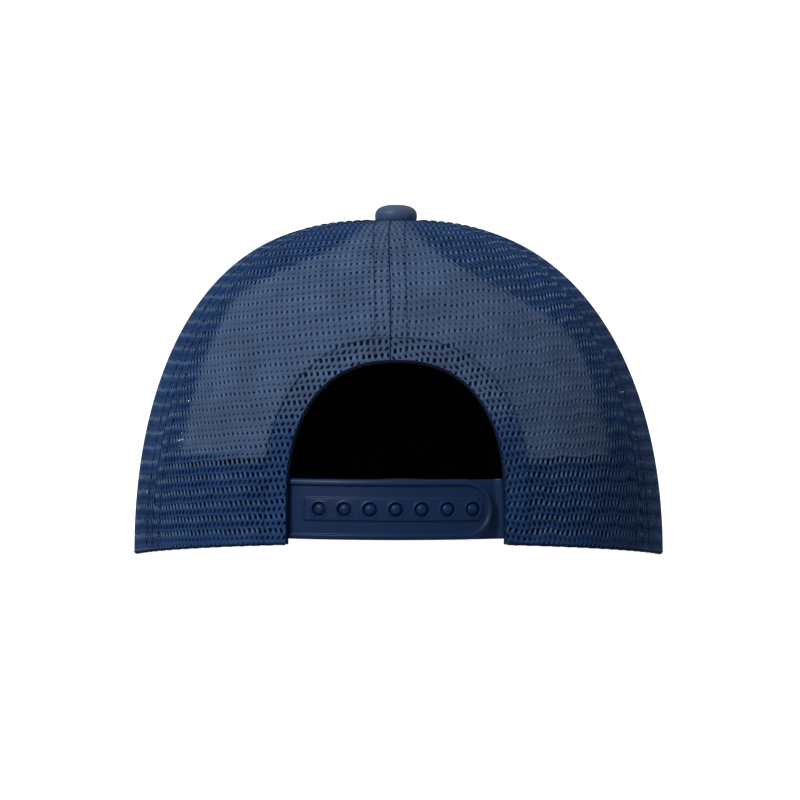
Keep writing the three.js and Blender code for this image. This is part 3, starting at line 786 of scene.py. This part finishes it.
SIDE_SEAMS = (-FRONT_SEAM, -BACK_SEAM, BACK_SEAM, FRONT_SEAM)
STITCH_DEPTH, SIDE_STITCHES_OFF, MIDDLE_STITCHES_OFF, HEM_STITCHES_IN = 0.02, 5.6, 5.3, 1.2
for seam in SIDE_SEAMS:
    seam_ridge(seam)
seam_ridge(MIDDLE_SEAM, 0.19, 0.8)
for side in (-1, 1):
    for seam in SIDE_SEAMS:
        stitch_line(*seam_line(seam, side * SIDE_STITCHES_OFF), STITCH_DEPTH)
    stitch_line(*seam_line(MIDDLE_SEAM, side * MIDDLE_STITCHES_OFF, stop_at_arch=1.6), STITCH_DEPTH)
stitch_line(*arch_line(HEM_WIDTH - HEM_STITCHES_IN), STITCH_DEPTH, radius=0.14)
# folds and side seam ridges in the painted-shade fold colour
folds.make("folded_edges", SHADED_FOLD)


# Front panel with its foam
FRONT_TOP_RADIUS, FRONT_SEAM_INSET = 3.2, 0.25


def front_panel():
    columns, rows = 90, 60
    i = np.linspace(FRONT_SEAM, 360 - FRONT_SEAM, columns + 1)[None, :]
    low_turn = turn_at_height(rim_height(i))
    high_turn = np.arccos((FRONT_TOP_RADIUS / BACK_DEPTH) ** (exponent(i) / 2))
    turn = low_turn + (high_turn - low_turn) * np.linspace(0, 1, rows + 1)[:, None]
    angle = np.broadcast_to(i, turn.shape)
    squeeze = (angle - 180) / (180 - FRONT_SEAM)
    angle = angle - squeeze * FRONT_SEAM_INSET / degree_length(angle, turn)
    faces_at = []
    for deep in (0.0, FRONT_WALL):
        depth = np.full(turn.shape, deep)
        points = crown(angle, turn, depth)
        points[0] = crown_flat_edge(angle, turn, depth)[0]
        faces_at.append(points)
    points, faces, kind = slab(*faces_at)
    return mesh_object(
        "front_cloth_and_foam", points, faces, [CLOTH, FOAM], face_material=kind == 1
    )


front = front_panel()
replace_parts(front, "front_panel")

# Tapes and washer keep their solids and get their own materials.
for name in ("back_tape", "side_tape_left", "side_tape_right", "front_tape_left", "front_tape_right"):
    tape_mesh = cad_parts[name].data
    tape_mesh.materials.clear()
    tape_mesh.materials.append(MIDDLE_TAPE if name == "back_tape" else TAPE)
washer_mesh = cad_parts["button_washer"].data
washer_mesh.materials.clear()
washer_mesh.materials.append(METAL)

# Sweatband: it lies inside the front tapes, steps in over the strap's tails, and is taller at the forehead.
# A dark band, its tall forehead and near-black inner face also fill the opening with painted shade.
BAND_DEPTH, BAND_THICK, BAND_LIFT = 3.9, 1.2, 1.0
BAND_TALL, FOREHEAD_TALL, FOREHEAD_DROP = 28.5, 48.0, (16.0, 32.0)
BAND_END, TAIL_STEP, TAIL_STEP_ANGLES = 25.5, 1.05, (34.0, 37.0)


def band_top(angle):
    from_front = np.abs(angle - 180)
    return FOREHEAD_TALL + (BAND_TALL - FOREHEAD_TALL) * ease(from_front, *FOREHEAD_DROP)


def band_shift(angle):
    from_back = np.minimum(angle, 360 - angle)
    return TAIL_STEP * (1 - ease(from_back, *TAIL_STEP_ANGLES))


def sweatband():
    columns, rows = 260, 40
    i = np.linspace(BAND_END, 360 - BAND_END, columns + 1)[None, :]
    share = 0.5 - 0.5 * np.cos(np.linspace(0, math.pi, rows + 1))[:, None]
    lift = BAND_LIFT + (band_top(i) - BAND_LIFT) * share
    turn = turn_at_height(rim_height(i) + lift)
    angle = np.broadcast_to(i, turn.shape)
    from_edge = np.minimum(lift - BAND_LIFT, band_top(i) - lift)
    bead = 0.28 * hump(from_edge, 1.1, 0.9) - 0.2 * hump(from_edge, 2.9, 0.4)
    pucker = 0.1 * np.sin(angle * 3.1 + 2 * np.sin(angle * 0.7)) * np.exp(-from_edge / 6)
    rounding = 0.55 * (1 - np.sqrt(1 - np.clip(1 - from_edge / 0.7, 0, 1) ** 2))
    outer = crown(angle, turn, BAND_DEPTH + band_shift(angle) + rounding)
    inner = crown(angle, turn, BAND_DEPTH + BAND_THICK + band_shift(angle) + bead + pucker - rounding)
    points, faces, kind = slab(outer, inner)
    return mesh_object("sweatband_cloth", points, faces, [BAND_BACK, BAND_INNER_SHADED], face_material=kind > 0)


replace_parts(sweatband(), "sweatband")

# Snap strap. Places on it are `along` and `height`, in millimetres from its middle.
STRAP_RADIUS = HALF_WIDTH - STRAP_DEPTH
OPENING_EDGE = STRAP_RADIUS * math.asin(ARCH_WIDE / HALF_WIDTH)
STRAP_HALF = STRAP_TALL / 2
STRAP_END, STRAP_TAIL, STRAP_GAP = 33.4, 12.0, 0.3
STUDS = (np.arange(7) - 3) * 8.6
HOLE_RADIUS = 2.35
CELL_HALF, CELL_STEPS = 3.3, 12
RIB_WIDTHS, RIB_RAISE = (1.7, 2.2), 0.8
RAISED_HALF, RAISED_ENDS, RAISED_CORNERS, RAISED_BY = 3.9, (-31.2, 29.6), (0.6, 2.5), 0.6
END_MIDDLE = STRAP_END - STRAP_HALF


def on_strap(along, height, depth):
    turn = turn_at_height(STRAP_BOTTOM + STRAP_HALF + height)
    return crown(np.degrees(along / STRAP_RADIUS), turn, depth)


def rounding_drop(inside, radius=0.55, by=0.45):
    """How far a rounded edge drops at `inside` millimetres in from the outline."""
    return by * (1 - np.sqrt(1 - np.clip(1 - inside / radius, 0, 1) ** 2))


def strap_raise(along, height):
    """Ribs along the outline and the raised band with the holes, above the strap's face."""
    past = np.maximum(along - END_MIDDLE, 0)
    inside = STRAP_HALF - np.hypot(past, height)
    width = RIB_WIDTHS[0] + (RIB_WIDTHS[1] - RIB_WIDTHS[0]) * (height / STRAP_HALF + 1) / 2
    rib = RIB_RAISE * (1 - ease(inside, width - 0.2, width + 0.2))
    middle, half = sum(RAISED_ENDS) / 2, (RAISED_ENDS[1] - RAISED_ENDS[0]) / 2
    corner = np.where(along > middle, RAISED_CORNERS[1], RAISED_CORNERS[0])
    beyond = np.abs(along - middle) - (half - corner)
    above = np.abs(height) - (RAISED_HALF - corner)
    outside = np.hypot(np.maximum(beyond, 0), np.maximum(above, 0))
    outside += np.minimum(np.maximum(beyond, above), 0)
    raised = RAISED_BY * (1 - ease(outside - corner, -0.3, 0.05))
    return np.maximum(rib, raised) - rounding_drop(inside, 1.5, 0.85)


def strap_grid():
    """Places over the outer strap, with a square cell of even steps round each hole."""
    cell = np.linspace(-CELL_HALF, CELL_HALF, CELL_STEPS + 1)
    columns = [np.linspace(-(OPENING_EDGE + STRAP_TAIL), STUDS[0] - CELL_HALF, 46)]
    columns += [stud + cell for stud in STUDS]
    columns += [np.linspace(a + CELL_HALF, b - CELL_HALF, 5) for a, b in zip(STUDS, STUDS[1:])]
    columns = np.unique(np.round(np.concatenate(columns), 6))
    half = np.sqrt(STRAP_HALF**2 - np.maximum(columns - END_MIDDLE, 0) ** 2)
    share = np.linspace(0, 1, 29)[1:, None]
    above = CELL_HALF + share * (half - CELL_HALF)
    height = np.concatenate([-above[::-1], np.broadcast_to(cell[:, None], (len(cell), len(columns))), above])
    along = np.broadcast_to(columns, height.shape)
    last = height[:, -1:]
    arc = END_MIDDLE + np.sqrt(np.maximum(STRAP_HALF**2 - last**2, 0))
    share = np.linspace(0, 1, 15)[None, 1:]
    along = np.concatenate([along, columns[-1] + share * (arc - columns[-1])], 1)
    return along, np.concatenate([height, np.broadcast_to(last, (len(last), 14))], 1)


def cell_border(middle):
    """Places round a cell's square outline, and the angle of each from the cell's middle."""
    side = np.linspace(-CELL_HALF, CELL_HALF, CELL_STEPS + 1)[:-1]
    fixed = np.full(CELL_STEPS, CELL_HALF)
    x = np.concatenate([side, fixed, -side, -fixed])
    z = np.concatenate([-fixed, side, fixed, -side])
    return middle + x, z, np.arctan2(z, x)


HOLE_RINGS = ((3.0, 0.0), (2.82, 0.07), (2.66, 0.15), (2.52, 0.15), (2.42, 0.06), (2.37, -0.1), (2.35, -0.3))


def hole_patch(middle):
    x, z, turn = cell_border(middle)
    back = STRAP_DEPTH + STRAP_BASE
    rings = [on_strap(x, z, np.full(x.shape, STRAP_DEPTH) - strap_raise(x, z))]
    for radius, lip in HOLE_RINGS:
        rx, rz = middle + radius * np.cos(turn), radius * np.sin(turn)
        rings.append(on_strap(rx, rz, np.full(x.shape, STRAP_DEPTH - RAISED_BY - lip)))
    rx, rz = middle + HOLE_RADIUS * np.cos(turn), HOLE_RADIUS * np.sin(turn)
    rings.append(on_strap(rx, rz, np.full(x.shape, back)))
    rings.append(on_strap(x, z, np.full(x.shape, back)))
    return np.concatenate(rings), grid_faces(len(x), len(rings) - 1, closed_u=True)


def weld(points, quads):
    """Joins points that lie in one place. Quads that lose a corner become triangles."""
    _, first, back = np.unique(np.round(points, 4), axis=0, return_index=True, return_inverse=True)
    quads = back.reshape(-1)[quads]
    same = quads == np.roll(quads, -1, 1)
    whole = quads[~same.any(1)]
    single = np.flatnonzero(same.sum(1) == 1)
    triangles = [np.delete(quads[k], np.argmax(same[k])) for k in single]
    return points[first], [whole, np.array(triangles, int).reshape(-1, 3)]


def outer_strap():
    along, height = strap_grid()
    front = on_strap(along, height, STRAP_DEPTH - strap_raise(along, height))
    back = on_strap(along, height, np.full(along.shape, STRAP_DEPTH + STRAP_BASE))
    points, faces, kind = slab(front, back)
    layer = along.size
    centre_along = along.ravel()[faces % layer].mean(1)
    centre_height = height.ravel()[faces % layer].mean(1)
    near = np.abs(centre_along[:, None] - STUDS).min(1) < CELL_HALF
    faces = faces[~(near & (np.abs(centre_height) < CELL_HALF) & (kind < 2))]
    parts = [points]
    quads = [faces]
    for stud in STUDS:
        patch, patch_faces = hole_patch(stud)
        quads.append(patch_faces + sum(len(q) for q in parts))
        parts.append(patch)
    points, faces = weld(np.concatenate(parts), np.concatenate(quads))
    return mesh_object("strap_outer_moulded", points, faces, PLASTIC)


def revolve(radii, rises, around, ripple=None):
    """Points and faces of a turned form on +Z, closed at both ends."""
    turn = np.linspace(0, 2 * math.pi, around, endpoint=False)
    radii = np.asarray(radii, float)[:, None] * np.ones(around)
    if ripple is not None:
        radii = radii * (1 + ripple(np.asarray(rises, float)[:, None], turn[None, :]))
    rises = np.asarray(rises, float)[:, None] * np.ones(around)
    points = np.stack([radii * np.cos(turn), radii * np.sin(turn), rises], -1).reshape(-1, 3)
    rings = len(radii)
    caps = [np.arange(around)[::-1][None], (np.arange(around) + (rings - 1) * around)[None]]
    return points, grid_faces(around, rings - 1, closed_u=True), caps


STUD_PROFILE = ((2.28, 0.0), (2.26, 1.1), (2.18, 1.32), (2.0, 1.42), (1.84, 1.5), (1.74, 1.64), (1.58, 1.83),
                (1.36, 2.01), (1.08, 2.16), (0.76, 2.27), (0.4, 2.33), (0.1, 2.35))


def inner_strap():
    columns = np.linspace(-STRAP_END, OPENING_EDGE + STRAP_TAIL, 170)[None, :]
    share = np.linspace(0, 1, 41)[:, None]
    height = -STRAP_HALF * np.cos(share * math.pi)
    along, height = np.broadcast_arrays(columns, height)
    deep = STRAP_DEPTH + STRAP_BASE + STRAP_GAP
    depth = deep - (STRAP_BASE + STRAP_GAP) * ease(along, STRAP_END + 1, OPENING_EDGE + 1)
    drop = rounding_drop(STRAP_HALF - np.abs(height), 0.5, 0.4)
    parts = Parts()
    points, faces, _ = slab(on_strap(along, height, depth + drop), on_strap(along, height, depth + 1.0))
    parts.add(points, faces)
    radii, rises = np.array(STUD_PROFILE).T
    form, faces, caps = revolve(radii, rises, 36)
    for stud in STUDS:
        place = on_strap(np.array(stud), np.array(0.0), np.array(deep))
        out = outward(np.degrees(stud / STRAP_RADIUS), turn_at_height(STRAP_BOTTOM + STRAP_HALF))
        side = np.cross([0, 0, 1], out)
        side /= np.linalg.norm(side)
        parts.add(place + form @ np.stack([side, np.cross(out, side), out]), faces, caps)
    return parts.make("strap_inner_moulded", PLASTIC)


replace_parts(outer_strap(), "strap_outer")
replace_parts(inner_strap(), "strap_inner")

# Button covered with cloth, gathered in at its foot, with a post through the crown.
BUTTON_RADIUS, BUTTON_SIDE, BUTTON_DOME, BUTTON_FOOT = 7.3, 1.4, 3.95, -0.05
POST_RADIUS, POST_END = 1.6, -4.95


def button():
    side = np.linspace(0, 1, 9)[:-1]
    rise = np.linspace(0, 1, 26) * math.pi / 2
    radii = BUTTON_RADIUS * np.concatenate([1 - 0.035 * (1 - side) ** 2, np.cos(rise) ** 0.8])
    heights = [BUTTON_SIDE * side, BUTTON_SIDE + BUTTON_DOME * np.sin(rise) ** 0.8]
    heights = np.concatenate(heights) + BUTTON_FOOT
    radii[-1] = 0.1

    def gathers(height, turn):
        low = np.exp(-np.maximum(height - BUTTON_FOOT, 0) / 1.1)
        fine = 0.012 * np.sin(17 * turn) + 0.008 * np.sin(29 * turn + 1)
        return low * fine + 0.004 * np.sin(3 * turn + 0.5)

    radii = np.concatenate([[POST_RADIUS, POST_RADIUS], radii])
    heights = np.concatenate([[POST_END, BUTTON_FOOT], heights])
    points, faces, caps = revolve(radii, heights, 96, gathers)
    parts = Parts()
    parts.add(points + [LEAN, 0, HEIGHT], faces, caps)
    return parts.make("button_cover", SATIN)


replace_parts(button(), "top_button")

# Peak. `side` runs from -1 at its left root over 0 at the tip to 1 at its right root.
PEAK_LONG, PEAK_WIDE, PEAK_THICK, PEAK_ROOT, PEAK_SHOULDER = 70.0, 88.0, 3.0, 62.0, 24.0
PEAK_EXP, PEAK_DROOP_POWER, SHOULDER_SHARE, SEWN_GAP = 2.3, 1.3, 0.82, 0.45
PEAK_ROOT_Y = FRONT_DEPTH * math.cos(math.radians(PEAK_ROOT))
PEAK_TIP_Y = FRONT_DEPTH + PEAK_LONG


def peak_inner(side):
    angle = np.radians(PEAK_ROOT) * side
    return np.stack([(HALF_WIDTH + SEWN_GAP) * np.sin(angle), (FRONT_DEPTH + SEWN_GAP) * np.cos(angle)], -1)


def peak_outer(side):
    away = np.abs(side)
    root = peak_inner(np.array(1.0))
    turn = np.clip((1 - (away - SHOULDER_SHARE) / (1 - SHOULDER_SHARE)), 0, 1) * math.pi / 2
    back_x = root[0] + (PEAK_WIDE - root[0]) * np.sin(turn)
    back_y = PEAK_ROOT_Y + PEAK_SHOULDER * (1 - np.cos(turn))
    turn = np.clip(away / SHOULDER_SHARE, 0, 1) * math.pi / 2
    widest = PEAK_ROOT_Y + PEAK_SHOULDER
    front_x = PEAK_WIDE * np.sin(turn) ** (2 / PEAK_EXP)
    front_y = widest + (PEAK_TIP_Y - widest) * np.cos(turn) ** (2 / PEAK_EXP)
    behind = away > SHOULDER_SHARE
    x = np.sign(side) * np.where(behind, back_x, front_x)
    return np.stack([x, np.where(behind, back_y, front_y)], -1)


def peak_arch(x):
    angle = np.degrees(np.arcsin(np.clip(np.abs(x) / HALF_WIDTH, 0, 1)))
    return rim_height(180 - angle)


def droop_shape(y):
    return np.maximum(0, (y - PEAK_ROOT_Y) / (PEAK_TIP_Y - PEAK_ROOT_Y)) ** PEAK_DROOP_POWER


def peak_droop():
    """The peak droops just so far that each side of its edge touches the table."""
    edge = peak_outer(np.arange(5, 101) / 100)
    shape = droop_shape(edge[:, 1])
    low = shape > 0.02
    return min(FRONT_RISE, float(np.min(peak_arch(edge[low, 0]) / shape[low])))


PEAK_DROOP = peak_droop()


def peak_place(side, out, rise=0.0):
    """A place `rise` above the peak's underside: `out` runs from 0 at the crown to 1 at the edge."""
    angle = 180 - PEAK_ROOT * side
    crown_in = np.cos(turn_at_height(rim_height(angle) + rise)) ** (2 / exponent(angle))
    inner = peak_inner(side) * crown_in[..., None]
    plan = inner + (peak_outer(side) - inner) * out[..., None]
    x, y = plan[..., 0], plan[..., 1]
    droop = PEAK_DROOP * droop_shape(y) * (1 - (1 - out) ** 2)
    return np.stack([x, y, np.maximum(0, peak_arch(x) - droop) + rise], -1)


PEAK_ROWS = (0.16, 0.3, 0.44, 0.58, 0.72, 0.86)


def peak():
    side = np.linspace(-1, 1, 241)[None, :]
    out = (1 - (1 - np.linspace(0, 1, 61)) ** 1.25)[:, None]
    side, out = np.broadcast_arrays(side, out)
    wide = np.linalg.norm(peak_outer(side) - peak_inner(side), axis=-1)
    from_edge = (1 - out) * wide
    drop = rounding_drop(from_edge, 1.5, 1.3)
    bead = 0.25 * hump(from_edge, 2.6, 1.3) - 0.25 * hump(from_edge, 5.2, 0.5)
    groove = sum(-0.16 * np.exp(-((((out - row) * wide) / 0.45) ** 2)) for row in PEAK_ROWS)
    top = peak_place(side, out, PEAK_THICK) + [0, 0, 1] * (bead + groove - drop)[..., None]
    low = peak_place(side, out) + [0, 0, 1] * (drop + np.maximum(-groove, 0))[..., None]
    points, faces, _ = slab(top[:, ::-1], low[:, ::-1])
    return mesh_object("peak_cloth", points, faces, CLOTH)


def peak_stitches():
    for row in PEAK_ROWS:
        side = np.linspace(-0.97, 0.97, 300)
        path = peak_place(side, np.full(side.shape, row), PEAK_THICK - 0.02)
        run = np.concatenate([[0], np.cumsum(np.linalg.norm(np.diff(path, axis=0), axis=1))])
        for s in np.arange(1, run[-1] - 3, 3.1):
            ends = [np.array([np.interp(q, run, path[:, k]) for k in range(3)]) for q in (s, s + 2.4)]
            capsule(*ends, np.array([0.0, 0.0, 1.0]), 0.22)


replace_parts(peak(), "peak")
peak_stitches()

stitches.make("stitches", THREAD)


# Floor, light and camera
def stage():
    """A round white floor under a white dome, so that every side can be looked at."""
    rise = np.linspace(0, math.pi / 2, 17)[:-1]
    rings = [(0.4 * k, 0.0) for k in range(1, 8)] + [(4 * math.cos(r), 4 * math.sin(r)) for r in rise]
    turn = np.linspace(0, 2 * math.pi, 64, endpoint=False)
    verts = [(radius * math.cos(t), radius * math.sin(t), z) for radius, z in rings for t in turn]
    faces = grid_faces(64, len(rings) - 1, closed_u=True, flip=True).tolist()
    faces.append(list(range(64)))
    mesh = bpy.data.meshes.new("floor")
    mesh.from_pydata(verts, [], faces)
    floor = bpy.data.objects.new("floor", mesh)
    bpy.context.scene.collection.objects.link(floor)
    m = new_material("floor", (0.8, 0.8, 0.8), 0.95, Specular_IOR_Level=0.1)
    shader = m.node_tree.nodes["Principled BSDF"]
    shader.inputs["Emission Color"].default_value = (1, 1, 1, 1)
    shader.inputs["Emission Strength"].default_value = 1.0
    mesh.materials.append(m)
    floor.visible_diffuse = False
    floor.visible_glossy = False
    floor.visible_shadow = False


stage()


# Each light's place and size in metres, and its power in watts
LIGHTS = {
    "key": ((-1.15, -1.5, 1.6), 0.5, 44),
    "fill": ((1.4, -1.3, 0.7), 1.2, 0.8),
    "top": ((0.0, 0.1, 1.9), 1.0, 4),
}
LIGHT_AIM = Vector((0, -0.03, 0.06))
WORLD_STRENGTH = 0.35


def area_light(name, place, size, power):
    data = bpy.data.lights.new(name, "AREA")
    data.shape = "SQUARE"
    data.size = size
    data.energy = power
    obj = bpy.data.objects.new(name, data)
    obj.location = place
    obj.rotation_euler = (LIGHT_AIM - Vector(place)).to_track_quat("-Z", "Y").to_euler()
    bpy.context.scene.collection.objects.link(obj)


for name, light in LIGHTS.items():
    area_light(name, *light)
world = bpy.data.worlds.new("studio")
bpy.context.scene.world = world
world.use_nodes = True
world.node_tree.nodes["Background"].inputs["Color"].default_value = (1, 1, 1, 1)
world.node_tree.nodes["Background"].inputs["Strength"].default_value = WORLD_STRENGTH
bpy.context.scene.view_settings.view_transform = "Standard"

DISTANCE, ELEVATION, AZIMUTH = 1.5, 2.0, 0.55
HALF_PICTURE_PIXELS, PIXELS_PER_MM = 400, 2.875
MM_PER_HALF_FRAME = HALF_PICTURE_PIXELS / PIXELS_PER_MM
TARGET_X, TARGET_Z = 0.0005, 0.0529
SENSOR = 36
camera_data = bpy.data.cameras.new("camera")
camera_data.sensor_width = SENSOR
camera_data.lens = SENSOR / 2 / (MM_PER_HALF_FRAME / 1000 / DISTANCE)
camera_data.clip_start = 0.05
camera = bpy.data.objects.new("camera", camera_data)
bpy.context.scene.collection.objects.link(camera)
e, a = math.radians(ELEVATION), math.radians(AZIMUTH)
target = Vector((TARGET_X, AXIS_Y, TARGET_Z))
towards = Vector((math.sin(a) * math.cos(e), -math.cos(a) * math.cos(e), math.sin(e)))
camera.location = target + DISTANCE * towards
camera.rotation_euler = (target - camera.location).to_track_quat("-Z", "Y").to_euler()
bpy.context.scene.camera = camera
